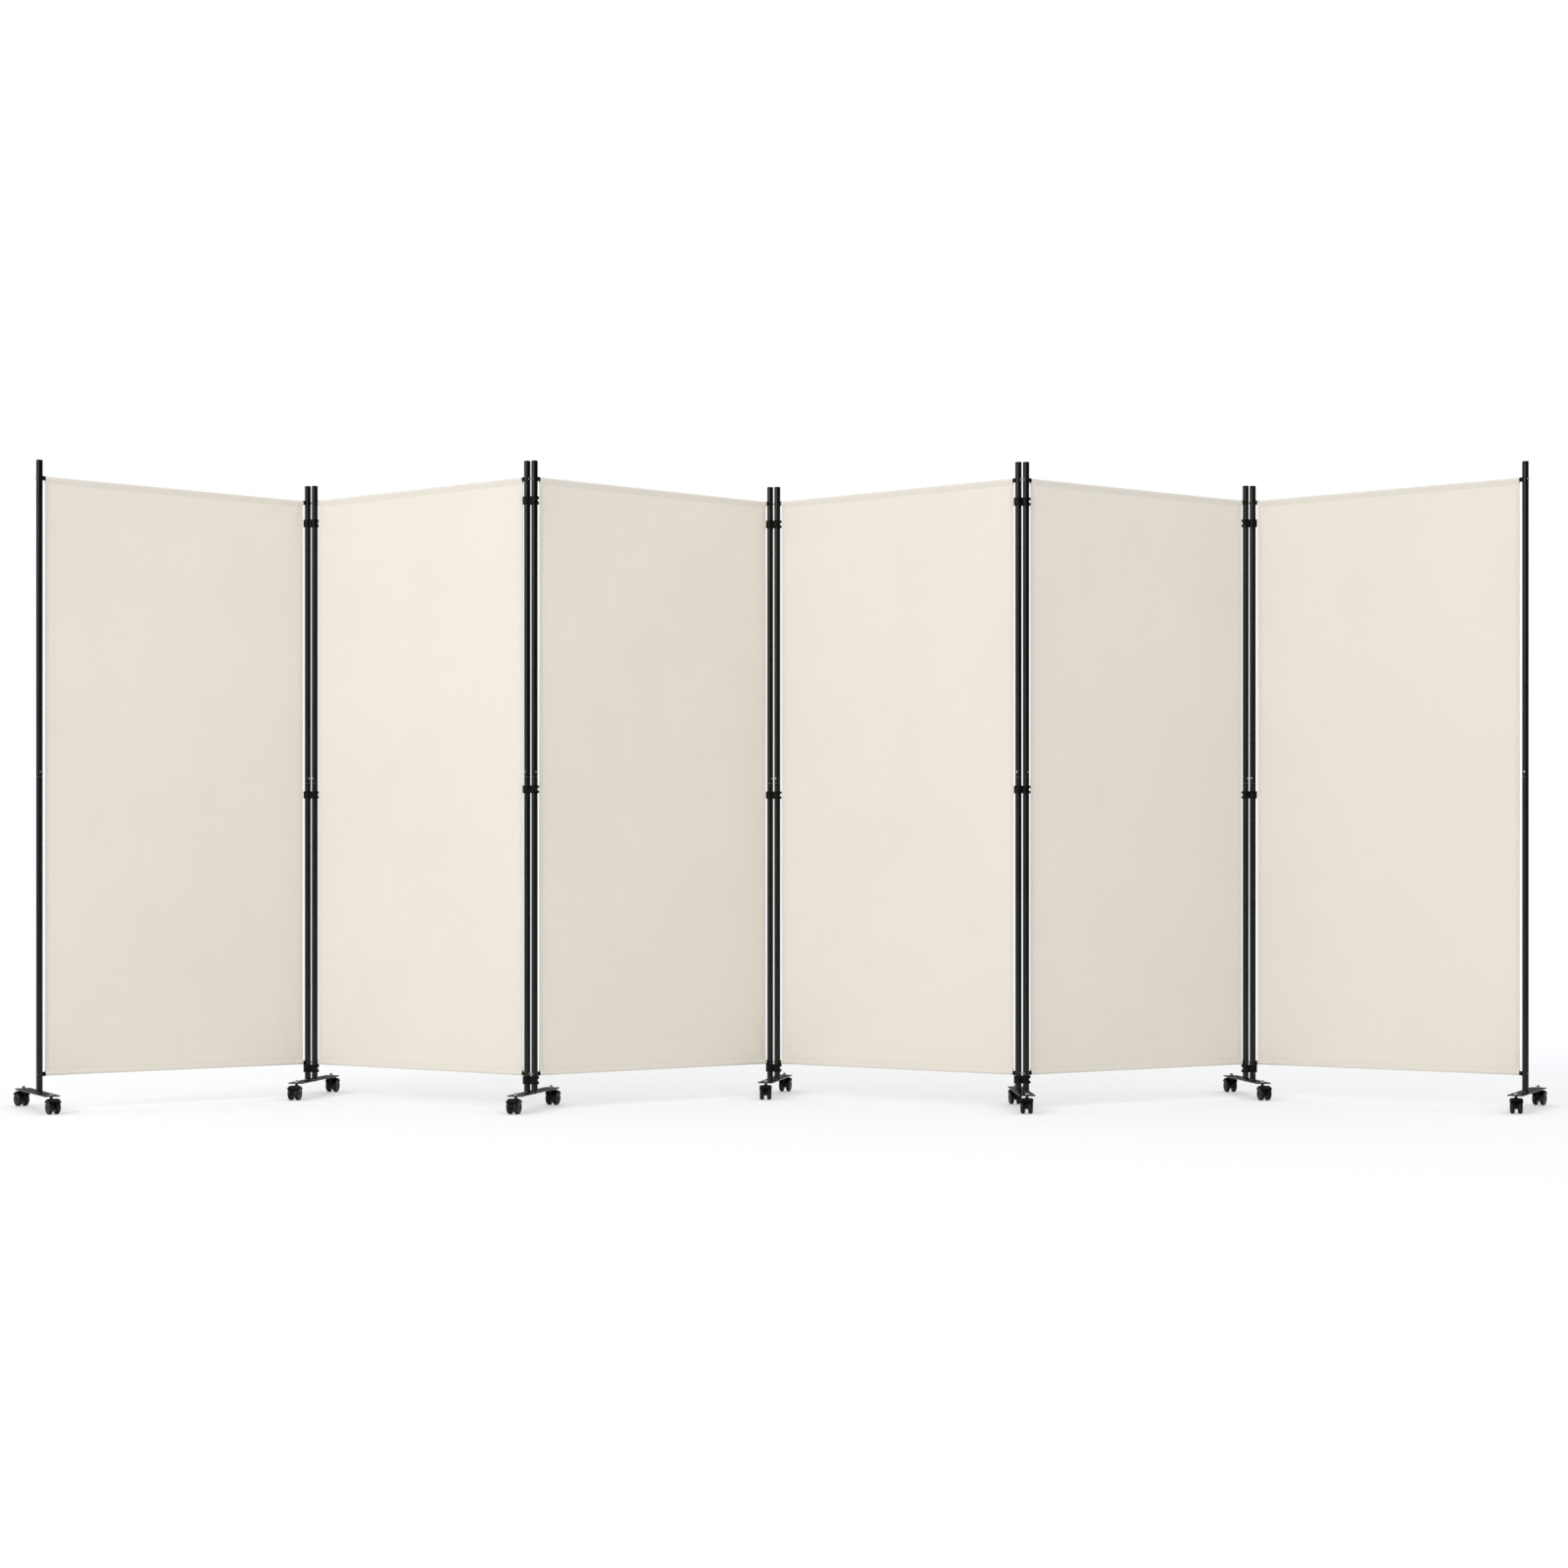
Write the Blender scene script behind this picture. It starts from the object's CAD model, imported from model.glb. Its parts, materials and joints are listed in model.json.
# %% [markdown]
# A folding room divider stands on a white studio floor: six taut cloths between black steel
# posts, with clips at the hinges and casters under the foot plates. The metal and plastic
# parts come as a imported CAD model, which is a fixed frame: nothing in it moves or changes
# size here. This script finds its places in that frame, parts the CAD nodes into their real
# pieces, sews the cloths, and gives every surface its finish.

# %% Load the frame
import json
import math

import bmesh
import bpy
import numpy as np
from mathutils import Matrix, Vector


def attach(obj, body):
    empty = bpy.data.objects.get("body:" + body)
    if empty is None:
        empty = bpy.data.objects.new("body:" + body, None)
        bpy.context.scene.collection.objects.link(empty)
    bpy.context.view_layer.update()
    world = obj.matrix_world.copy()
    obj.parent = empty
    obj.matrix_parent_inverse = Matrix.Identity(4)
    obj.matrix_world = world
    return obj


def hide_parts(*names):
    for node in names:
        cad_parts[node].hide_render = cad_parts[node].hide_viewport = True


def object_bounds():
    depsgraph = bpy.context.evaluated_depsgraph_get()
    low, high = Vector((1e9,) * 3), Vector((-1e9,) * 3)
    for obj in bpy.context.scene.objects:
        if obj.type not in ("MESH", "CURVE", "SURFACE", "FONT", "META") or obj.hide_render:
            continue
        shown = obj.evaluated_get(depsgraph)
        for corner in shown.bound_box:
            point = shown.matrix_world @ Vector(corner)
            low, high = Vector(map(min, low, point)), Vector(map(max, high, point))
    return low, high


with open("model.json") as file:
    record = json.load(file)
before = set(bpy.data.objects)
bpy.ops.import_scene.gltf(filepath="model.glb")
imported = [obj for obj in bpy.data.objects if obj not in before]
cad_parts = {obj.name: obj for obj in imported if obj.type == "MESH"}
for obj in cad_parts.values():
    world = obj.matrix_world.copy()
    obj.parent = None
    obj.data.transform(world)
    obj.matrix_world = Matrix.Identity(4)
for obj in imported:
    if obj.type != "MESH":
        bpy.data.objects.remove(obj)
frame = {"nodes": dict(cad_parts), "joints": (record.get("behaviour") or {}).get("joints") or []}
cad_low, cad_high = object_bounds()
MM = 0.001
PANELS = range(1, 7)
FEET = range(1, 8)
SIDES = ("front", "back")
JOINTS = {joint["name"]: joint for joint in frame["joints"]}
print("CAD box", [round(v, 3) for v in (*cad_low, *cad_high)])

# %% [markdown]
# The joints of the frame say where everything stands. A panel's own frame has its origin on
# its first post's axis at floor height, with X towards its second post. A foot's has X along
# its pair of posts and Y towards its back caster, and a caster's has X from its stem towards
# its axle. Each is a matrix, so a piece is modelled once and set down where it belongs.

# %% Find the places of panels, feet and casters
def joint_at(name):
    return Vector(JOINTS[name]["pos_m"])


def place(origin, x_axis):
    """A matrix with Z up, X along x_axis and its origin at floor height."""
    x = Vector((x_axis.x, x_axis.y, 0)).normalized()
    y = Vector((-x.y, x.x, 0))
    turn = Matrix((x, y, Vector((0, 0, 1)))).transposed()
    return Matrix.Translation((origin.x, origin.y, 0)) @ turn.to_4x4()


def post_axes(panel):
    first = "end_turn_1" if panel == 1 else f"hinge_{panel}_right"
    second = "end_turn_7" if panel == 6 else f"hinge_{panel + 1}_left"
    return joint_at(first), joint_at(second)


def panel_place(panel):
    first, second = post_axes(panel)
    return place(first, second - first)


def foot_place(foot):
    front, back = (joint_at(f"swivel_{foot}_{side}") for side in SIDES)
    along = back - front
    return place((front + back) / 2, Vector((along.y, -along.x, 0)))


def caster_place(foot, side):
    stem = joint_at(f"swivel_{foot}_{side}")
    return place(stem, joint_at(f"roll_{foot}_{side}") - stem)


def local_box(node, where):
    """The lowest and highest corner of a CAD node, seen in the frame of a place."""
    back = where.inverted()
    points = np.array([back @ v.co for v in frame["nodes"][node].data.vertices])
    return Vector(points.min(0)), Vector(points.max(0))


POST_GAP = (post_axes(1)[1] - post_axes(1)[0]).length
print("post axes", round(POST_GAP / MM, 1), "mm apart")

# %% [markdown]
# The camera looks level at the screen, so its posts stay upright in the picture. A level
# camera has the horizon across the middle of its frame. Here the horizon lies lower, and a
# small shift of the lens moves the frame up without leaning the posts.

# %% Set up the camera
CAMERA_AT = Vector((0.0015, -7.917, 0.645))
LENS_MM = 61.6
IMAGE_PX = 1600
HORIZON_PX = 902

camera_data = bpy.data.cameras.new("camera")
camera_data.sensor_width = 36.0
camera_data.lens = LENS_MM
camera_data.shift_y = (HORIZON_PX - IMAGE_PX / 2) / IMAGE_PX
camera = bpy.data.objects.new("camera", camera_data)
camera.location = CAMERA_AT
camera.rotation_euler = (math.radians(90), 0, 0)
bpy.context.scene.collection.objects.link(camera)
bpy.context.scene.camera = camera
bpy.context.scene.view_settings.view_transform = "Standard"

# %% [markdown]
# A finish is a small tree of shader nodes. This class keeps each line of such a tree short:
# it adds a node, sets its values and links it in one call. A number that is the same all
# over a surface goes straight onto the shader's own socket. The sky's tree uses it too.

# %% Define a helper for finishes
class Shading:
    """A tree of shader nodes that ends in one shader."""

    def __init__(self, owner, shader):
        owner.use_nodes = True
        self.tree = owner.node_tree
        self.shader = self.tree.nodes[shader]

    def node(self, kind, links=None, **settings):
        made = self.tree.nodes.new(kind)
        for key, value in settings.items():
            if hasattr(made, key):
                setattr(made, key, value)
            else:
                made.inputs[key.replace("_", " ")].default_value = value
        for socket, source in (links or {}).items():
            self.tree.links.new(source, made.inputs[socket])
        return made

    def calc(self, operation, a, b=0.0):
        """A Math node on two sockets or numbers."""
        made = self.node("ShaderNodeMath", operation=operation)
        for index, value in enumerate((a, b)):
            if isinstance(value, (int, float)):
                made.inputs[index].default_value = value
            else:
                self.tree.links.new(value, made.inputs[index])
        return made.outputs[0]

    def spread(self, value, low, high, from_low=0.0, from_high=1.0):
        """Maps a value from one range to another."""
        made = self.node("ShaderNodeMapRange", {"Value": value})
        ends = {"From Min": from_low, "From Max": from_high, "To Min": low, "To Max": high}
        for key, number in ends.items():
            made.inputs[key].default_value = number
        return made.outputs[0]

    def scaled(self, where, stretch):
        made = self.node("ShaderNodeMapping", {"Vector": where})
        made.inputs["Scale"].default_value = stretch
        return made.outputs[0]

    def noise(self, where, scale, detail=2.0):
        made = self.node("ShaderNodeTexNoise", {"Vector": where}, Scale=scale, Detail=detail)
        return made.outputs["Fac"]

    def here(self):
        return self.node("ShaderNodeTexCoord").outputs["Object"]

    def mix(self, factor, a, b):
        """Mixes two colours, each a colour or a socket."""
        made = self.node("ShaderNodeMix", {"Factor": factor}, data_type="RGBA")
        for index, value in ((6, a), (7, b)):
            if isinstance(value, tuple):
                made.inputs[index].default_value = (*value, 1)
            else:
                self.tree.links.new(value, made.inputs[index])
        return made.outputs[2]

    def choose(self, test, a, b):
        """The number a where the test is 0, and b where it is 1."""
        return self.calc("ADD", self.calc("MULTIPLY", self.calc("SUBTRACT", b, a), test), a)

    def bump(self, height, strength, distance):
        made = self.node("ShaderNodeBump", {"Height": height}, Strength=strength)
        made.inputs["Distance"].default_value = distance
        self.set("Normal", made.outputs[0])

    def set(self, socket, source):
        self.tree.links.new(source, self.shader.inputs[socket])


class Finish(Shading):
    """A material with one Principled shader."""

    def __init__(self, name, **sockets):
        self.material = bpy.data.materials.new(name)
        super().__init__(self.material, "Principled BSDF")
        for key, value in sockets.items():
            self.shader.inputs[key.replace("_", " ")].default_value = value


# %% [markdown]
# Powder coat is a baked skin of paint with a faint orange-peel relief, which breaks its
# reflections into soft streaks. A fine noise gives the relief. A slow noise changes its
# gloss, so two posts side by side never look quite alike.

# %% Mix the powder-coated steel
def powder_coat():
    paint = Finish("powder_coated_steel")
    patch = paint.noise(paint.here(), 9.0)
    paint.set("Base Color", paint.mix(patch, (0.002, 0.002, 0.002), (0.004, 0.004, 0.004)))
    paint.set("Roughness", paint.spread(patch, 0.24, 0.34, 0.3, 0.7))
    paint.bump(paint.noise(paint.here(), 900.0), 0.12, 0.25 * MM)
    return paint.material


# %% [markdown]
# The plastic has two finishes. Clips, sockets, caps and caster hoods have the fine grain of
# a spark-eroded mould, which scatters light. The wheels are smoother, and the floor has
# rubbed some dust into them.

# %% Mix the plastics
def moulded_plastic():
    plastic = Finish("moulded_plastic", Specular_IOR_Level=0.2)
    patch = plastic.noise(plastic.here(), 60.0)
    plastic.set("Base Color", plastic.mix(patch, (0.001, 0.001, 0.001), (0.003, 0.003, 0.003)))
    plastic.set("Roughness", plastic.spread(patch, 0.38, 0.5, 0.3, 0.7))
    plastic.bump(plastic.noise(plastic.here(), 2600.0, 1.0), 0.2, 0.08 * MM)
    return plastic.material


def wheel_plastic():
    plastic = Finish("wheel_plastic", Specular_IOR_Level=0.35)
    dust = plastic.spread(plastic.noise(plastic.here(), 240.0, 4.0), 0.0, 1.0, 0.45, 0.75)
    plastic.set("Base Color", plastic.mix(dust, (0.003, 0.003, 0.003), (0.010, 0.010, 0.009)))
    plastic.set("Roughness", plastic.spread(dust, 0.30, 0.48))
    plastic.bump(plastic.noise(plastic.here(), 1500.0), 0.15, 0.1 * MM)
    return plastic.material


# %% [markdown]
# Screws, nuts and washers are zinc plated. Zinc is a metal, so its colour is the colour of its
# reflections, and its small crystals make the gloss uneven.

# %% Mix the zinc plate
def zinc_plate():
    zinc = Finish("zinc_plate", Metallic=1.0)
    crystal = zinc.noise(zinc.here(), 700.0, 3.0)
    zinc.set("Base Color", zinc.mix(crystal, (0.66, 0.66, 0.67), (0.80, 0.80, 0.80)))
    zinc.set("Roughness", zinc.spread(crystal, 0.22, 0.38, 0.3, 0.7))
    zinc.bump(crystal, 0.1, 0.1 * MM)
    return zinc.material


# %% [markdown]
# The cloth is a plain weave: each thread passes over one thread and under the next. A UV map
# called weave holds half metres, with U along the weft and V along the warp, so the threads
# keep their real width and follow the cloth round the rods. Threads are never all the same,
# and noises stretched along each direction make some of them thicker or paler. A slow noise
# gives the faint clouding of a large taut cloth. A second layer on the mesh, called seams,
# says how near a point is to a side seam (X) or an end seam (Y), and whether the cloth is
# double there (Z). Short ripples run across each seam, where the thread draws the cloth in.

# %% Mix the cloth and its thread
UV_PER_M = 0.5
YARN = 0.9 * MM * UV_PER_M
RIPPLE = 9 * MM * UV_PER_M


def woven_cloth():
    cloth = Finish("woven_cloth", Roughness=0.85, Specular_IOR_Level=0.25,
                   Sheen_Weight=0.15, Sheen_Roughness=0.5)
    uv = cloth.node("ShaderNodeUVMap", uv_map="weave").outputs[0]
    seams = cloth.node("ShaderNodeAttribute", attribute_name="seams").outputs["Vector"]
    at = cloth.node("ShaderNodeSeparateXYZ", {"Vector": uv}).outputs
    near = cloth.node("ShaderNodeSeparateXYZ", {"Vector": seams}).outputs
    yarns = [cloth.calc("DIVIDE", at[axis], YARN) for axis in (0, 1)]
    rounds = [cloth.calc("ABSOLUTE", cloth.calc("SINE", cloth.calc("MULTIPLY", yarn, math.pi)))
              for yarn in yarns]
    odd = cloth.calc("ADD", *(cloth.calc("FLOOR", yarn) for yarn in yarns))
    over = cloth.calc("MODULO", odd, 2.0)
    under = cloth.calc("SUBTRACT", 1.0, over)
    weave = cloth.calc("ADD", cloth.calc("MULTIPLY", rounds[0], over),
                       cloth.calc("MULTIPLY", rounds[1], under))
    slub = cloth.calc("ADD", cloth.noise(cloth.scaled(uv, (1400.0, 14.0, 1.0)), 1.0),
                      cloth.noise(cloth.scaled(uv, (14.0, 1400.0, 1.0)), 1.0))
    ripples = [cloth.calc("MULTIPLY", near[axis], cloth.noise(cloth.scaled(uv, stretch), 1.0))
               for axis, stretch in ((0, (40.0, 1 / RIPPLE, 1.0)), (1, (1 / RIPPLE, 40.0, 1.0)))]
    ripple = cloth.calc("ADD", *ripples)
    cloud = cloth.noise(cloth.here(), 3.2, 3.0)
    plain = cloth.mix(cloth.spread(slub, 0.0, 1.0, 0.7, 1.3),
                      (0.825, 0.780, 0.701), (0.855, 0.810, 0.732))
    clouded = cloth.mix(cloth.spread(cloud, 0.0, 0.5, 0.4, 0.7), plain, (0.80, 0.757, 0.682))
    double = cloth.mix(cloth.calc("MULTIPLY", near[2], 0.5), clouded, (0.76, 0.722, 0.655))
    shaded = cloth.mix(cloth.spread(weave, 0.1, 0.0, 0.0, 0.6), double, (0.72, 0.675, 0.60))
    cloth.set("Base Color", shaded)
    relief = cloth.calc("ADD", weave, cloth.calc("MULTIPLY", slub, 0.6))
    cloth.bump(cloth.calc("ADD", relief, cloth.calc("MULTIPLY", ripple, 9.0)), 0.35, 0.12 * MM)
    return cloth.material


def sewing_thread():
    thread = Finish("sewing_thread", Roughness=0.6)
    twist = thread.noise(thread.here(), 1800.0, 1.0)
    thread.set("Base Color", thread.mix(twist, (0.70, 0.65, 0.57), (0.86, 0.81, 0.74)))
    thread.bump(twist, 0.3, 0.1 * MM)
    return thread.material


STEEL, PLASTIC, WHEEL = powder_coat(), moulded_plastic(), wheel_plastic()
ZINC, CLOTH, THREAD = zinc_plate(), woven_cloth(), sewing_thread()
print(len(bpy.data.materials), "materials")

# %% [markdown]
# One CAD node holds all of a panel's posts, rods, sockets and screws. On the real screen
# they are separate pieces of steel, plastic and zinc, so a copy of the node has its loose
# triangles merged and is parted into its solids. Solids of one kind become one piece with its
# own finish, and the CAD node stays behind, hidden, for the physics.

# %% Part a CAD node into its pieces
SHARP = math.radians(32)


def merged_copy(node):
    """A node's mesh with its corners merged and its flat faces joined."""
    made = bmesh.new()
    made.from_mesh(frame["nodes"][node].data)
    bmesh.ops.remove_doubles(made, verts=made.verts, dist=0.002 * MM)
    bmesh.ops.dissolve_limit(made, angle_limit=math.radians(0.4),
                             verts=made.verts, edges=made.edges)
    return made


def solids_in(made):
    """Lists of the faces that hang together, in the order of their first faces.

    A set of faces has no order of its own, so it only says which faces are left.
    """
    left, found = set(made.faces), []
    for start in made.faces:
        if start not in left:
            continue
        left.remove(start)
        solid, rim = [start], [start]
        while rim:
            for edge in rim.pop().edges:
                new = [face for face in edge.link_faces if face in left]
                left.difference_update(new)
                solid += new
                rim += new
        found.append(solid)
    return found


def smooth_by_angle(made):
    for face in made.faces:
        face.smooth = True
    for edge in made.edges:
        edge.smooth = edge.is_manifold and edge.calc_face_angle(0) < SHARP


def add_piece(name, mesh, body, material=None):
    """Links a mesh as a piece that rides on a body."""
    if material is not None:
        mesh.materials.append(material)
    piece = bpy.data.objects.new(name, mesh)
    bpy.context.scene.collection.objects.link(piece)
    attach(piece, body)
    return piece


def solid_piece(name, made, body, material, edge_width=0.0):
    """Turns a bmesh into a piece with smooth sides and slightly rounded edges."""
    smooth_by_angle(made)
    mesh = bpy.data.meshes.new(name)
    made.to_mesh(mesh)
    made.free()
    piece = add_piece(name, mesh, body, material)
    if edge_width:
        edges = piece.modifiers.new("rounded_edges", "BEVEL")
        edges.width, edges.segments = edge_width, 2
        edges.limit_method, edges.angle_limit = "ANGLE", SHARP
        edges.harden_normals = True
    return piece


def part_node(node, body, where, kinds):
    """Parts a node by kinds: (name, test of a solid's box, slot, material, edge width).

    Gives back the boxes of each kind's solids. A kind without a slot makes no piece."""
    back = where.inverted()
    whole = merged_copy(node)
    whole.faces.index_update()
    faces_of = {kind[0]: set() for kind in kinds}
    boxes = {kind[0]: [] for kind in kinds}
    for solid in solids_in(whole):
        points = np.array([back @ v.co for face in solid for v in face.verts])
        low, high = Vector(points.min(0)), Vector(points.max(0))
        name = next(kind[0] for kind in kinds if kind[1](low, high))
        faces_of[name].update(face.index for face in solid)
        boxes[name].append((low, high))
    for name, _, slot, material, edge_width in kinds:
        if slot and boxes[name]:
            made = whole.copy()
            made.faces.ensure_lookup_table()
            spare = [face for face in made.faces if face.index not in faces_of[name]]
            bmesh.ops.delete(made, geom=spare, context="FACES")
            piece = solid_piece(f"{body}_{name}", made, body, material, edge_width)
            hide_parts(node)
    whole.free()
    return boxes


# %% [markdown]
# Screw heads, thread ends, ribs and stitches all repeat, so one kind of Geometry Nodes tree
# sets them all. It takes a mesh whose points know which way is outward and which is along.
# In a tree for lines, the mesh's edges become curves with a point at every pitch. Each point
# gets a copy of the small piece, turned by its two directions and by a seeded random twist.
# Realize Instances makes one plain mesh of them, and Set Material gives it its finish.

# %% Build the trees that repeat a piece
def repeat_tree(name, on_lines):
    tree = bpy.data.node_groups.new(name, "GeometryNodeTree")
    sockets = (("Geometry", "Geometry"), ("Piece", "Object"), ("Pitch", "Float"),
               ("Twist", "Float"), ("Finish", "Material"))
    for label, kind in sockets:
        tree.interface.new_socket(label, in_out="INPUT", socket_type=f"NodeSocket{kind}")
    tree.interface.new_socket("Geometry", in_out="OUTPUT", socket_type="NodeSocketGeometry")
    add, link = tree.nodes.new, tree.links.new
    given, result = add("NodeGroupInput"), add("NodeGroupOutput")
    points = given.outputs["Geometry"]
    if on_lines:
        curves, spaced = add("GeometryNodeMeshToCurve"), add("GeometryNodeCurveToPoints")
        spaced.mode = "LENGTH"
        link(points, curves.inputs["Mesh"])
        link(curves.outputs["Curve"], spaced.inputs["Curve"])
        link(given.outputs["Pitch"], spaced.inputs["Length"])
        points = spaced.outputs["Points"]
    turn = add("FunctionNodeAxesToRotation")
    turn.primary_axis, turn.secondary_axis = "Z", "X"
    for label, axis in (("outward", "Primary Axis"), ("along", "Secondary Axis")):
        kept = add("GeometryNodeInputNamedAttribute")
        kept.data_type = "FLOAT_VECTOR"
        kept.inputs["Name"].default_value = label
        link(kept.outputs["Attribute"], turn.inputs[axis])
    chance, twist = add("FunctionNodeRandomValue"), add("ShaderNodeMath")
    chance.inputs[2].default_value = -1.0
    chance.inputs["Seed"].default_value = 7
    twist.operation = "MULTIPLY"
    link(chance.outputs[1], twist.inputs[0])
    link(given.outputs["Twist"], twist.inputs[1])
    angles, spin = add("ShaderNodeCombineXYZ"), add("FunctionNodeEulerToRotation")
    both = add("FunctionNodeRotateRotation")
    both.rotation_space = "LOCAL"
    link(twist.outputs[0], angles.inputs["Z"])
    link(angles.outputs[0], spin.inputs[0])
    link(turn.outputs[0], both.inputs[0])
    link(spin.outputs[0], both.inputs[1])
    shape, copies = add("GeometryNodeObjectInfo"), add("GeometryNodeInstanceOnPoints")
    link(given.outputs["Piece"], shape.inputs["Object"])
    link(points, copies.inputs["Points"])
    link(shape.outputs["Geometry"], copies.inputs["Instance"])
    link(both.outputs[0], copies.inputs["Rotation"])
    real, dressed = add("GeometryNodeRealizeInstances"), add("GeometryNodeSetMaterial")
    link(copies.outputs[0], real.inputs["Geometry"])
    link(real.outputs[0], dressed.inputs["Geometry"])
    link(given.outputs["Finish"], dressed.inputs["Material"])
    link(dressed.outputs[0], result.inputs[0])
    return tree


ON_POINTS, ON_LINES = repeat_tree("on_points", False), repeat_tree("on_lines", True)


def repeat(name, tree, lines, where, values, body):
    """Sets a piece along lines of (points, outward, along), given in the frame of a place."""
    carrier = bpy.data.meshes.new(name)
    points, edges, ways = [], [], {"outward": [], "along": []}
    for line, outward, along in lines:
        edges += [(len(points) + i, len(points) + i + 1) for i in range(len(line) - 1)]
        points += [where @ Vector(point) for point in line]
        for label, way in (("outward", outward), ("along", along)):
            ways[label] += list(where.to_3x3() @ Vector(way)) * len(line)
    carrier.from_pydata(points, edges, [])
    for label, numbers in ways.items():
        carrier.attributes.new(label, "FLOAT_VECTOR", "POINT").data.foreach_set("vector", numbers)
    holder = bpy.data.objects.new(name, carrier)
    bpy.context.scene.collection.objects.link(holder)
    modifier = holder.modifiers.new("repeat", "NODES")
    modifier.node_group = tree
    for item in tree.interface.items_tree:
        if item.in_out == "INPUT" and item.name in values:
            modifier[item.identifier] = values[item.name]
    graph = bpy.context.evaluated_depsgraph_get()
    mesh = bpy.data.meshes.new_from_object(holder.evaluated_get(graph))
    holder.modifiers.remove(modifier)
    bpy.data.objects.remove(holder)
    mesh.name = name
    return add_piece(name, mesh, body)


# %% [markdown]
# A pan-head screw is a turned shape with a cross pressed into it. Its side view is turned
# round the Z axis ring by ring, the flat top is filled between the last ring and the outline
# of the cross, and the cross goes down into the head with slightly slanted walls.

# %% Model a screw
HEAD_SIDES = 24


def turned(made, profile, sides):
    """Rings of vertices round Z, one for each (radius, height), joined by faces."""
    rings = []
    for radius, z in profile:
        angles = [math.tau * i / sides for i in range(sides)]
        rings.append([made.verts.new((radius * math.cos(a), radius * math.sin(a), z))
                      for a in angles])
    for low, high in zip(rings, rings[1:]):
        for i in range(sides):
            j = (i + 1) % sides
            made.faces.new((low[i], low[j], high[j], high[i]))
    return rings


def join_rings(made, rings):
    """Joins rings of vertices into a closed bar."""
    count = len(rings[0])
    for one, other in zip(rings, rings[1:]):
        for i in range(count):
            j = (i + 1) % count
            made.faces.new((one[i], one[j], other[j], other[i]))
    made.faces.new(rings[0])
    made.faces.new(rings[-1][::-1])


def loose_shape(name, made):
    """An object that only the trees use. It is removed once they have run."""
    bmesh.ops.recalc_face_normals(made, faces=made.faces)
    smooth_by_angle(made)
    mesh = bpy.data.meshes.new(name)
    made.to_mesh(mesh)
    made.free()
    return bpy.data.objects.new(name, mesh)


def bead(name, length, bar_r, sides, knee):
    """A round bar along X that dives below z = 0 at both ends, from a knee near each end."""
    made = bmesh.new()
    rings = []
    for share, dive in ((-0.5, 1.0), (-knee, 0.3), (knee, 0.3), (0.5, 1.0)):
        radius = bar_r * (1 - 0.6 * dive)
        angles = [math.tau * i / sides for i in range(sides)]
        rings.append([made.verts.new((share * length, radius * math.cos(angle),
                                      radius * math.sin(angle) - dive * bar_r))
                      for angle in angles])
    join_rings(made, rings)
    return loose_shape(name, made)


def pan_head_screw(name, head_r, proud, shank_r, length):
    """A screw along -Z whose head stands proud of z = 0."""
    made = bmesh.new()
    neck = -0.3 * head_r
    rings = turned(made, [(shank_r, proud - length), (shank_r, neck), (head_r, neck),
                          (head_r, 0.45 * proud), (0.93 * head_r, 0.75 * proud),
                          (0.78 * head_r, 0.93 * proud), (0.58 * head_r, proud)],
                   HEAD_SIDES)
    made.faces.new(rings[0])
    arm, half = 0.44 * head_r, 0.09 * head_r
    quarter = [(arm, half), (half, half), (half, arm)]
    outline = []
    for k in range(4):
        turn = Matrix.Rotation(k * math.pi / 2, 2)
        outline += [turn @ Vector(p) for p in ((arm, -half), *quarter[:2])]
    rim = [made.verts.new((x, y, proud)) for x, y in outline]
    floor = [made.verts.new((0.8 * x, 0.8 * y, 0.2 * proud)) for x, y in outline]
    count = len(rim)
    cross = [made.edges.new((rim[i], rim[(i + 1) % count])) for i in range(count)]
    top = rings[-1]
    edge = [made.edges.get((top[i], top[(i + 1) % HEAD_SIDES])) for i in range(HEAD_SIDES)]
    bmesh.ops.triangle_fill(made, edges=cross + edge, use_beauty=True)
    for i in range(count):
        j = (i + 1) % count
        made.faces.new((rim[i], rim[j], floor[j], floor[i]))
    made.faces.new(floor)
    return loose_shape(name, made)


# %% [markdown]
# The solids in a panel's frame are told apart by their boxes. The tubes of a post are the
# tall ones and a rod is the long one. Caps are on top, shoes at the bottom, and sockets
# beside the posts. The screws are left out, because modelled screws take their places. What
# remains is zinc: ferrules, inserts and foot bolts.

# %% Dress the panels' frames
POST_R = 9 * MM


def frame_kinds():
    def is_post(low, high):
        return high.z - low.z > 600 * MM

    def is_rod(low, high):
        return high.x - low.x > 400 * MM

    def is_rod_screw(low, high):
        return high.z - low.z < 9 * MM and (
            low.x < -POST_R - 0.5 * MM or high.x > POST_GAP + POST_R + 0.5 * MM)

    def is_joint_screw(low, high):
        return high.z - low.z < 9 * MM and low.y < -POST_R - 0.5 * MM

    def is_fitting(low, high):
        cap = high.z > cad_high.z - 2 * MM
        shoe = high.z < 80 * MM and high.x - low.x > 15 * MM
        tall = high.z - low.z
        socket = low.z > 90 * MM and 11 * MM < tall < 20 * MM and high.x - low.x < 20 * MM
        return cap or shoe or socket

    return [
        ("posts", is_post, "steel_black", STEEL, 0.25 * MM),
        ("rods", is_rod, "steel_black", STEEL, 0.0),
        ("rod_screws", is_rod_screw, None, None, 0.0),
        ("joint_screws", is_joint_screw, None, None, 0.0),
        ("fittings", is_fitting, "plastic_black", PLASTIC, 0.35 * MM),
        ("inner_metal", lambda low, high: True, "zinc", ZINC, 0.3 * MM),
    ]


FRAME_BOXES = {}
for panel in PANELS:
    body = f"panel_{panel}"
    FRAME_BOXES[panel] = part_node(f"{body}_frame", body, panel_place(panel), frame_kinds())
    print(body, {kind: len(boxes) for kind, boxes in FRAME_BOXES[panel].items()})

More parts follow.
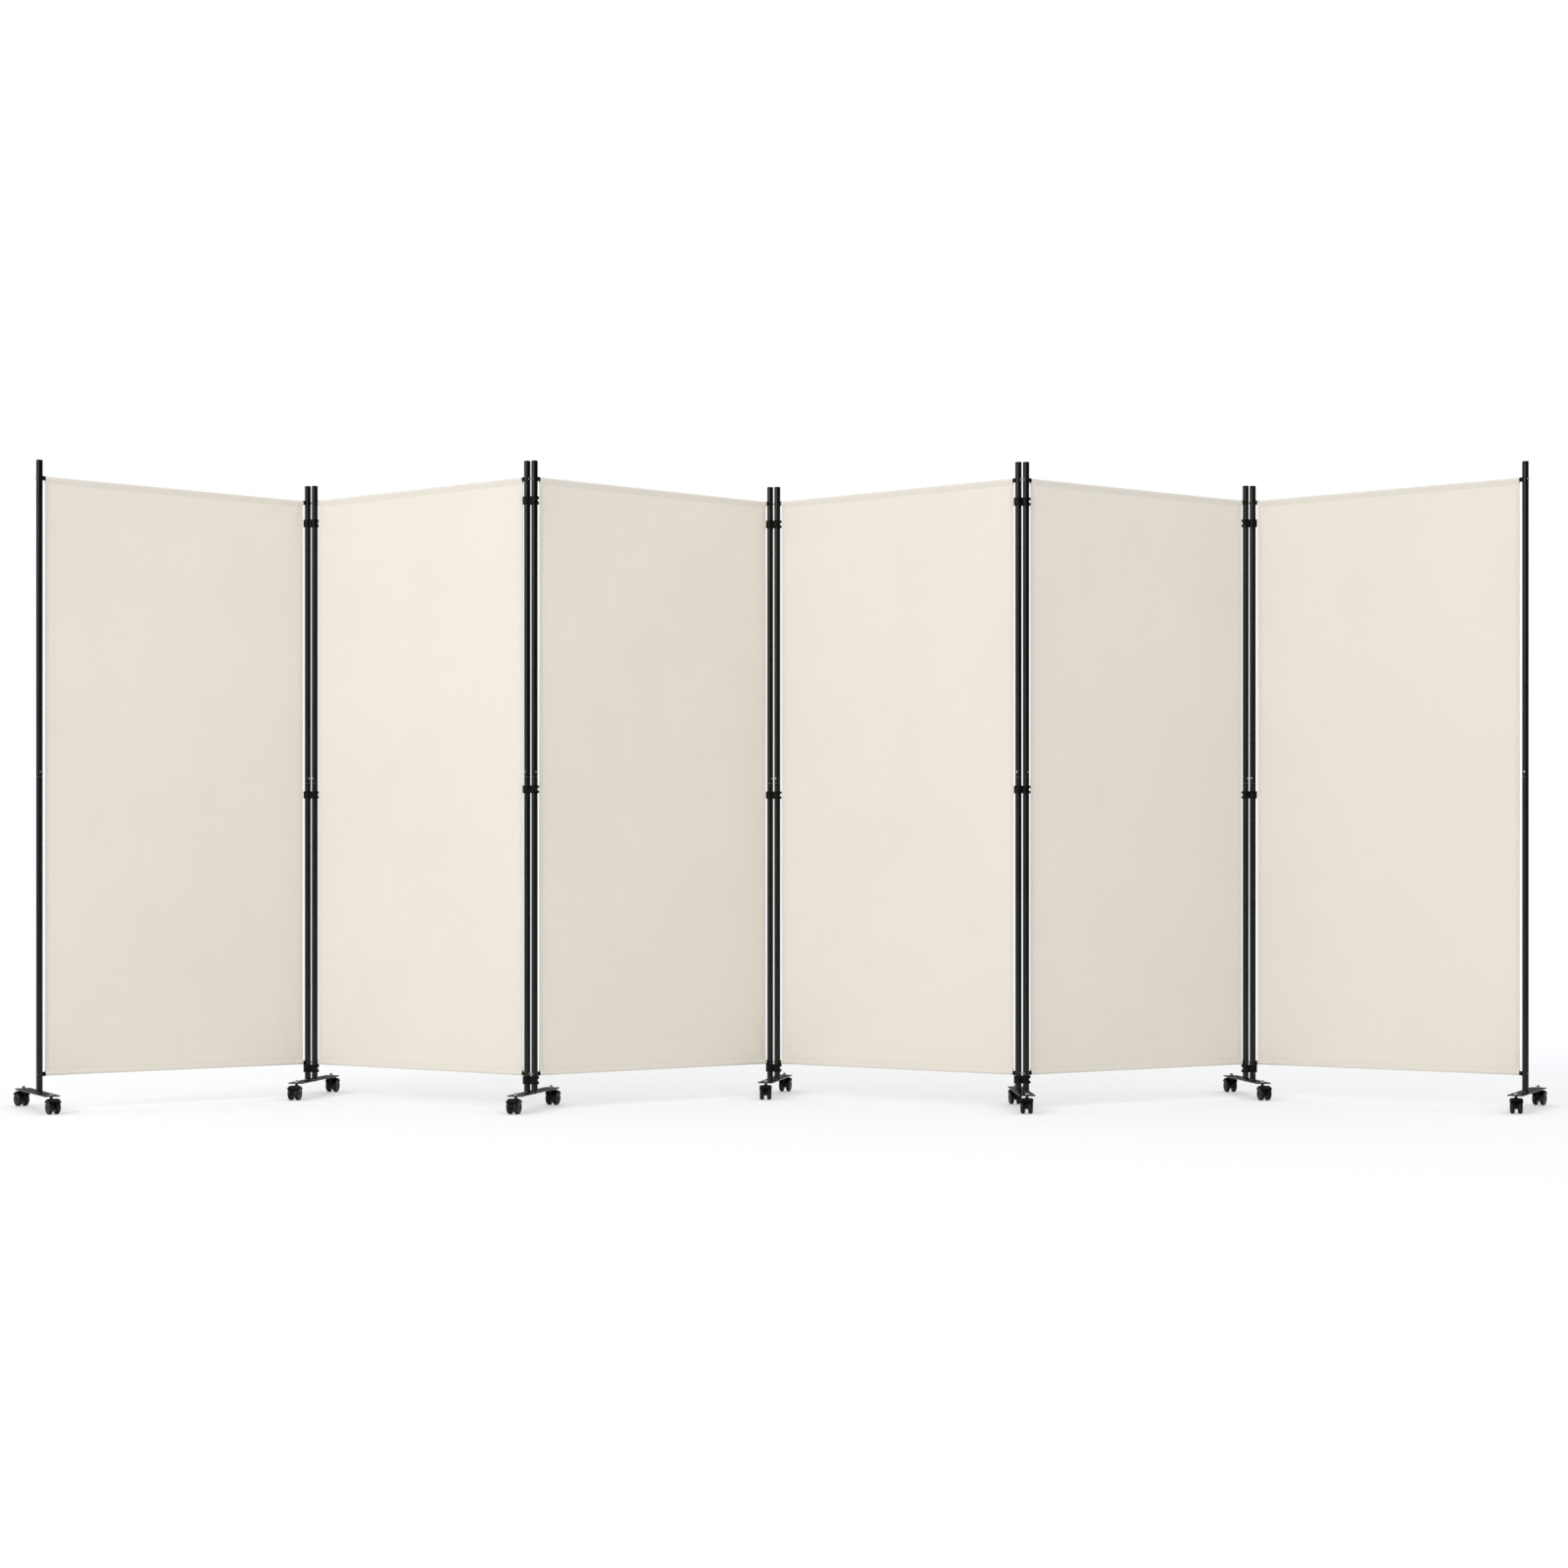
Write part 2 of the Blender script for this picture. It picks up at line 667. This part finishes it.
# %% [markdown]
# A screw's box gives its place, its length and the size of its head. The rod screws go in
# from the outer side of each post, and the joint screws from the front, so that is outward.

# %% Set the screws
def rod_screw_lines(panel):
    lines = []
    for low, high in FRAME_BOXES[panel]["rod_screws"]:
        side = -1 if low.x < 0 else 1
        face = -POST_R if side < 0 else POST_GAP + POST_R
        at = Vector((face, (low.y + high.y) / 2, (low.z + high.z) / 2))
        lines.append(([at], (side, 0, 0), (0, 0, 1)))
    return lines


def joint_screw_lines(panel):
    return [([Vector(((low.x + high.x) / 2, -POST_R, (low.z + high.z) / 2))],
             (0, -1, 0), (0, 0, 1)) for low, high in FRAME_BOXES[panel]["joint_screws"]]


low, high = min(FRAME_BOXES[1]["rod_screws"], key=lambda box: box[0].x)
rod_screw = pan_head_screw("rod_screw", (high.z - low.z) / 2, -POST_R - low.x,
                           2 * MM, high.x - low.x)
low, high = FRAME_BOXES[1]["joint_screws"][0]
joint_screw = pan_head_screw("joint_screw", (high.z - low.z) / 2, -POST_R - low.y,
                             1.5 * MM, high.y - low.y)
for panel in PANELS:
    body, where = f"panel_{panel}", panel_place(panel)
    for kind, shape, lines in (("rod_screws", rod_screw, rod_screw_lines(panel)),
                               ("joint_screws", joint_screw, joint_screw_lines(panel))):
        repeat(f"{body}_{kind}", ON_POINTS, lines, where,
               {"Piece": shape, "Twist": math.pi, "Finish": ZINC}, body)
    print(body, len(rod_screw_lines(panel)) + len(joint_screw_lines(panel)), "screws")

# %% [markdown]
# A foot plate is cut from flat bar, drilled and coated. Its stems are black, and the nuts on
# them are bright zinc. The stems end in a screw thread above their nuts. A thread is one
# triangle turned along a helix, and only its last turns show, so no more of it is made.

# %% Dress the feet
THREAD_R = 3.25 * MM
THREAD_DEPTH = 0.5 * MM
THREAD_PITCH = 1.0 * MM
THREAD_TOP = -0.45 * MM
THREAD_STEPS = 28
STEPS_PER_TURN = 20


def foot_kinds():
    return [
        ("bar", lambda low, high: high.y - low.y > 100 * MM, "steel_black", STEEL, 0.4 * MM),
        ("washers", lambda low, high: high.z - low.z < 1.5 * MM, "zinc", ZINC, 0.1 * MM),
        ("stems", lambda low, high: high.z - low.z > 10 * MM, "steel_black", STEEL, 0.4 * MM),
        ("nuts", lambda low, high: True, "zinc", ZINC, 0.4 * MM),
    ]


def thread_end():
    """A helix of thread below z = 0."""
    made = bmesh.new()
    rings = []
    for i in range(THREAD_STEPS + 1):
        angle = math.tau * i / STEPS_PER_TURN
        z = THREAD_TOP - THREAD_PITCH * i / STEPS_PER_TURN
        corners = ((THREAD_R - THREAD_DEPTH, 0.4 * THREAD_PITCH), (THREAD_R, 0.0),
                   (THREAD_R - THREAD_DEPTH, -0.4 * THREAD_PITCH))
        rings.append([made.verts.new((r * math.cos(angle), r * math.sin(angle), z + dz))
                      for r, dz in corners])
    join_rings(made, rings)
    return loose_shape("thread", made)


thread = thread_end()
for foot in FEET:
    body, where = f"foot_{foot}", foot_place(foot)
    boxes = part_node(f"{body}_plate", body, where, foot_kinds())
    ends = [([Vector(((low.x + high.x) / 2, (low.y + high.y) / 2, high.z))],
             (0, 0, 1), (1, 0, 0)) for low, high in boxes["stems"]]
    repeat(f"{body}_threads", ON_POINTS, ends, where,
           {"Piece": thread, "Twist": 0.0, "Finish": STEEL}, body)
    print(body, {kind: len(solids) for kind, solids in boxes.items()})

# %% [markdown]
# Clips, hoods, wheels and brake levers are moulded. Their CAD shapes are right, and they get
# their grain and the small round edges that a mould gives. A brake lever has ribs across its
# tab, so that a shoe doesn't slip off it.

# %% Dress the clips and casters
RIBS = 4
RIB_L = 9 * MM
RIB_R = 0.55 * MM
RIB_PITCH = 3 * MM
TAB_UNDER_BARREL = 0.8 * MM

MOULDINGS = [("foot_{foot}_clips", "foot_{foot}", "plastic_black", PLASTIC, 0.6 * MM),
             ("caster_{foot}_brake", "brake_{foot}", "plastic_black", PLASTIC, 0.4 * MM)]
for side in SIDES:
    MOULDINGS += [
        ("caster_{foot}_" + side + "_hood", "swivel_{foot}_" + side, "plastic_black",
         PLASTIC, 0.6 * MM),
        ("caster_{foot}_" + side + "_wheels", "wheels_{foot}_" + side, "wheel_black",
         WHEEL, 0.4 * MM),
    ]

for foot in FEET:
    for node, body, slot, material, edge_width in MOULDINGS:
        node, body = node.format(foot=foot), body.format(foot=foot)
        if node in frame["nodes"]:
            piece = solid_piece(f"{node}_moulding", merged_copy(node), body, material,
                                edge_width)
            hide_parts(node)

rib = bead("rib", RIB_L, RIB_R, 8, 0.45)
for foot in FEET:
    body, where = f"brake_{foot}", caster_place(foot, "back")
    low, high = local_box(f"caster_{foot}_brake", where)
    ribs = [([Vector((high.x - (i + 1.4) * RIB_PITCH, 0, high.z - TAB_UNDER_BARREL))],
             (0, 0, 1), (0, 1, 0)) for i in range(RIBS)]
    repeat(f"{body}_ribs", ON_POINTS, ribs, where,
           {"Piece": rib, "Twist": 0.0, "Finish": PLASTIC}, body)

# %% [markdown]
# A cloth is held between two rods and pulled tight. Each end goes round its rod and is sewn
# to itself, which makes a pocket. The mesh follows that: one path in the side view starts at
# the cut end behind the top rod, goes over the rod, down the panel and round the bottom rod.
# The path is swept across the panel, and Solidify gives it the thickness of the cloth. Taut
# cloth still isn't flat. It sinks a little at each seam, and faint folds fan out of the
# corners, where the rods pull hardest.

# %% Shape the cloths
CLOTH_T = 0.8 * MM
SIDE_HEM = 11 * MM
SIDE_SEAM = 9.6 * MM
POCKET = 13 * MM
END_SEAM = 14.5 * MM
END_HEM = 16 * MM
SEAM_DIP = 0.25 * MM
DIP_WIDTH = 1.2 * MM
SEAM_REACH = 9 * MM
HEM_ROWS = 3
FOLD = 1.1 * MM
WAVE = 0.3 * MM
SIDE_STEPS = np.array((0, 0.5, 2, 5, 8, 9, 9.6, 10.2, 11, 11.5, 14, 18)) * MM
END_STEPS = np.array((13, 13.7, 14.5, 15.3, 16, 17, 20, 26)) * MM


def cloth_path(bottom, top, radius):
    """Points (y, z) along the cloth's middle, from its top cut end to its bottom one."""
    lean = math.asin(radius / POCKET)
    turn = np.linspace(-lean, math.pi + lean, 25)
    over = np.column_stack([radius * np.cos(turn), radius * np.sin(turn)])
    behind = CLOTH_T + 0.05 * MM
    hem = [[behind, -END_HEM], [behind, -END_SEAM], [behind, -POCKET]]
    end = np.vstack([hem, over])
    middle = np.linspace(top - 40 * MM, bottom + 40 * MM, 130)
    levels = np.concatenate([top - END_STEPS, middle, bottom + END_STEPS[::-1]])
    flat = np.column_stack([np.zeros_like(levels), levels])
    return np.vstack([end + (0, top), flat, (end * (1, -1))[::-1] + (0, bottom)])


def near(distance, width):
    return np.exp(-((distance / width) ** 2))


def slack(x, z, sides, rods, chance):
    """How far the cloth stands behind its plane, from folds, waves and seams."""
    behind = np.zeros(x.shape)
    for side in sides:
        for rod in rods:
            across, up = abs(x - side), abs(z - rod)
            reach = np.hypot(across, up)
            fan = np.arctan2(across, up + 20 * MM)
            fade = np.exp(-reach / (160 * MM)) * np.clip(reach / (40 * MM), 0, 1)
            behind += FOLD * fade * np.sin(9 * fan + chance.uniform(0, math.tau))
    share = (z - rods[0]) / (rods[1] - rods[0])
    hold = np.sqrt(np.clip(4 * share * (1 - share), 0, 1))
    for _ in range(6):
        pitch, lean = chance.uniform(0.09, 0.3), chance.uniform(-0.15, 0.15)
        phase = chance.uniform(0, math.tau)
        ripple = np.sin(math.tau * (x + lean * z) / pitch + phase)
        behind += WAVE * hold * ripple * (0.6 + 0.4 * np.sin(3 * z + phase))
    for side in sides:
        behind += SEAM_DIP * near(abs(x - side) - SIDE_SEAM, DIP_WIDTH)
    for rod in rods:
        behind += SEAM_DIP * near(abs(z - rod) - END_SEAM, DIP_WIDTH)
    return behind


def cloth_grid(panel):
    """A panel's cloth as arrays over rows and columns, in the panel's frame."""
    low, high = local_box(f"panel_{panel}_fabric", panel_place(panel))
    wrap = (high.y - low.y) / 2
    rods = (low.z + wrap, high.z - wrap)
    path = cloth_path(*rods, wrap - CLOTH_T / 2)
    columns = np.concatenate([low.x + SIDE_STEPS,
                              np.linspace(low.x + 28 * MM, high.x - 28 * MM, 76),
                              high.x - SIDE_STEPS[::-1]])
    run = np.concatenate([[0], np.cumsum(np.hypot(*np.diff(path, axis=0).T))])
    x, y = np.meshgrid(columns, path[:, 0])
    z = np.meshgrid(columns, path[:, 1])[1]
    ends = np.minimum(rods[1] - z, z - rods[0])
    free = np.clip((ends - 8 * MM) / (6 * MM), 0, 1)
    y = y + free * slack(x, z, (low.x, high.x), rods, np.random.RandomState(40 + panel))
    u, v = np.meshgrid(columns - low.x, run)
    sides = np.minimum(x - low.x, high.x - x)
    double = np.maximum(sides < SIDE_HEM, ends < END_HEM)
    return {
        "points": np.stack([x, y, z], -1),
        "uv": np.stack([u, v], -1) * UV_PER_M,
        "seams": np.stack([near(sides - SIDE_SEAM, SEAM_REACH),
                           near(ends - END_SEAM, SEAM_REACH), double], -1),
        "cut": (high.x - low.x + 2 * SIDE_HEM, run[-1]),
        "rods": rods,
    }


def cloth_mesh(rows, closed=False):
    """A bmesh from rows of (point, uv, seams). A closed one joins each row's ends."""
    made = bmesh.new()
    seams = made.verts.layers.float_vector.new("seams")
    weave = made.loops.layers.uv.new("weave")
    verts, uv_of = [], {}
    for row in rows:
        verts.append([made.verts.new(point) for point, _, _ in row])
        for vert, (_, uv, near_seam) in zip(verts[-1], row):
            vert[seams] = near_seam
            uv_of[vert] = uv
    count = len(rows[0])
    for one, other in zip(verts, verts[1:]):
        for j in range(count if closed else count - 1):
            k = (j + 1) % count
            made.faces.new((one[j], other[j], other[k], one[k]))
    if closed:
        made.faces.new(verts[0])
        made.faces.new(verts[-1][::-1])
    for face in made.faces:
        for loop in face.loops:
            loop[weave].uv = uv_of[loop.vert]
    return made


def cloth_piece(panel, grid):
    rows = [list(zip(*parts)) for parts in zip(grid["points"], grid["uv"], grid["seams"])]
    made = cloth_mesh(rows)
    bmesh.ops.transform(made, matrix=panel_place(panel), verts=made.verts)
    piece = solid_piece(f"panel_{panel}_cloth", made, f"panel_{panel}", CLOTH)
    thick = piece.modifiers.new("thickness", "SOLIDIFY")
    thick.thickness, thick.offset = CLOTH_T, 0
    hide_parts(f"panel_{panel}_fabric")
    return piece


# %% [markdown]
# Down each side the cloth is folded back and sewn. The folded part is a strip that lies on
# the back of the cloth and follows it.

# %% Fold the side hems
def side_hem(panel, grid, side):
    """The strip behind the left (0) or right (-1) edge of a cloth."""
    points, uv = grid["points"], grid["uv"]
    bottom, top = grid["rods"]
    rows = [i for i in range(HEM_ROWS, len(points) - HEM_ROWS)
            if bottom + END_HEM < points[i, 0, 2] < top - END_HEM]
    edge = points[0, side, 0]
    columns = [j for j in range(points.shape[1])
               if abs(points[0, j, 0] - edge) <= SIDE_HEM + 0.01 * MM]
    strip = []
    for i in rows:
        inner = [points[i, j] + (0, 0.52 * CLOTH_T, 0) for j in columns]
        outer = [points[i, j] + (0, 1.4 * CLOTH_T, 0) for j in columns[::-1]]
        maps = [uv[i, j] for j in columns + columns[::-1]]
        strip.append([(point, at, (1, 0, 1)) for point, at in zip(inner + outer, maps)])
    made = cloth_mesh(strip, closed=True)
    bmesh.ops.recalc_face_normals(made, faces=made.faces)
    bmesh.ops.transform(made, matrix=panel_place(panel), verts=made.verts)
    name = f"panel_{panel}_hem_" + ("left" if side == 0 else "right")
    return solid_piece(name, made, f"panel_{panel}", CLOTH, 0.3 * MM)


# %% [markdown]
# One stitch is a short bead of thread that dives into the cloth at both ends. A seam shows
# on both faces, so every line is sewn on the front and on the back.

# %% Sew the seams
STITCH_L = 2.7 * MM
STITCH_R = 0.3 * MM
PITCH = 3.6 * MM


def seam_lines(grid):
    """Lines of stitches on both faces: down the sides, and along both pockets."""
    points = grid["points"]
    bottom, top = grid["rods"]
    front, back, hem = -CLOTH_T / 2, 1.42 * CLOTH_T, 1.55 * CLOTH_T
    body_rows = [i for i in range(HEM_ROWS, len(points) - HEM_ROWS)
                 if bottom + END_SEAM <= points[i, 0, 2] <= top - END_SEAM]
    column = int(abs(SIDE_STEPS - SIDE_SEAM).argmin())
    lines = []
    for j in (column, -1 - column):
        side = points[body_rows, j]
        lines += [(side + (0, front, 0), (0, -1, 0), (0, 0, 1)),
                  (side + (0, back, 0), (0, 1, 0), (0, 0, 1))]
    for level in (top - END_SEAM, bottom + END_SEAM):
        i = min(body_rows, key=lambda row: abs(points[row, 0, 2] - level))
        end = points[i, 1:-1]
        lines += [(end + (0, front, 0), (0, -1, 0), (1, 0, 0)),
                  (end + (0, hem, 0), (0, 1, 0), (1, 0, 0))]
    return lines


stitch = bead("stitch", STITCH_L, STITCH_R, 5, 0.3)
for panel in PANELS:
    body, grid = f"panel_{panel}", cloth_grid(panel)
    cloth = cloth_piece(panel, grid)
    hems = [side_hem(panel, grid, side) for side in (0, -1)]
    seams = repeat(f"{body}_stitches", ON_LINES, seam_lines(grid), panel_place(panel),
                   {"Piece": stitch, "Pitch": PITCH, "Twist": 0.12, "Finish": THREAD},
                   body)
    print(body, "cloth is cut", [round(length / MM) for length in grid["cut"]], "mm, with",
          len(seams.data.polygons) // len(stitch.data.polygons), "stitches")
for shape in (rod_screw, joint_screw, thread, rib, stitch):
    bpy.data.objects.remove(shape)

# %% [markdown]
# The studio is a white floor that runs to the horizon under a white sky. The sky and one
# large lamp on the left light the object, and the panels that face left are a little
# brighter for it. The camera sees a pure white sky instead, so the background is white
# without more light on the object. Gloss sees a darker studio: black all round, with one
# wide soft screen in front on the left, a dim backdrop behind and a floor that is bright
# only near the object. So black posts stay black to their edges and carry one soft highlight.

# %% Light the studio
SKY = 0.90
LAMP_W = 265.0
LAMP_AT = Vector((-7.2, -8.0, 5.6))
DARK = 0.01
BACKDROP = 0.2
SCREEN = 0.80
SCREEN_WAY = Vector((-0.68, -0.66, 0.32))
FLOOR_HALF = 60.0
FLOOR_LIT = 0.88
FLOOR_SEEN = 0.74
FLOOR_GLOW = 0.275
FLOOR_FADE = (2.8, 4.5)
GLOW_TINT = (1.0, 1.02, 1.08)


def studio_sky():
    world = bpy.data.worlds.new("studio_sky")
    bpy.context.scene.world = world
    sky = Shading(world, "Background")
    rays = sky.node("ShaderNodeLightPath").outputs
    way = sky.node("ShaderNodeTexCoord").outputs["Generated"]
    depth = sky.node("ShaderNodeSeparateXYZ", {"Vector": way}).outputs["Y"]
    toward = sky.node("ShaderNodeVectorMath", {0: way}, operation="DOT_PRODUCT")
    toward.inputs[1].default_value = SCREEN_WAY
    near_screen = sky.calc("MAXIMUM", toward.outputs["Value"], 0.0)
    screen = sky.calc("MULTIPLY", sky.calc("POWER", near_screen, 3.0), SCREEN)
    gloss = sky.calc("ADD", screen, sky.spread(depth, DARK, BACKDROP, 0.6, 0.95))
    strength = sky.choose(rays["Is Glossy Ray"], SKY, gloss)
    seen = sky.calc("MAXIMUM", rays["Is Camera Ray"], rays["Is Transmission Ray"])
    sky.set("Strength", sky.choose(seen, strength, 1.0))
    sky.shader.inputs["Color"].default_value = (1, 1, 1, 1)


def studio_lamp():
    data = bpy.data.lights.new("key_lamp", "AREA")
    data.shape, data.size, data.energy = "DISK", 4.0, LAMP_W
    lamp = bpy.data.objects.new("key_lamp", data)
    lamp.location = LAMP_AT
    aim = Vector((0, 0, 0.9)) - lamp.location
    lamp.rotation_euler = aim.to_track_quat("-Z", "Y").to_euler()
    bpy.context.scene.collection.objects.link(lamp)


def studio_floor():
    """A white floor. The camera sees part of its white as a glow, and far off all of it.

    The glow is slightly cool, because the cloths throw warm light on the floor near them.
    """
    made = bmesh.new()
    bmesh.ops.create_grid(made, x_segments=1, y_segments=1, size=FLOOR_HALF)
    mesh = bpy.data.meshes.new("floor")
    made.to_mesh(mesh)
    made.free()
    floor = bpy.data.objects.new("floor", mesh)
    bpy.context.scene.collection.objects.link(floor)
    white = Finish("floor_white", Roughness=0.9, Specular_IOR_Level=0.0)
    rays = white.node("ShaderNodeLightPath").outputs
    distance = white.node("ShaderNodeVectorMath", {0: white.here()}, operation="LENGTH")
    far = white.spread(distance.outputs["Value"], 0.0, 1.0, *FLOOR_FADE)
    lit = white.choose(rays["Is Glossy Ray"], FLOOR_LIT, white.choose(far, 0.75, 0.2))
    seen = white.choose(far, FLOOR_SEEN, 0.0)
    white.set("Base Color", white.choose(rays["Is Camera Ray"], lit, seen))
    white.shader.inputs["Emission Color"].default_value = (*GLOW_TINT, 1)
    glow = white.choose(far, FLOOR_GLOW, 1.0)
    white.set("Emission Strength", white.calc("MULTIPLY", rays["Is Camera Ray"], glow))
    mesh.materials.append(white.material)


studio_sky()
studio_lamp()
studio_floor()
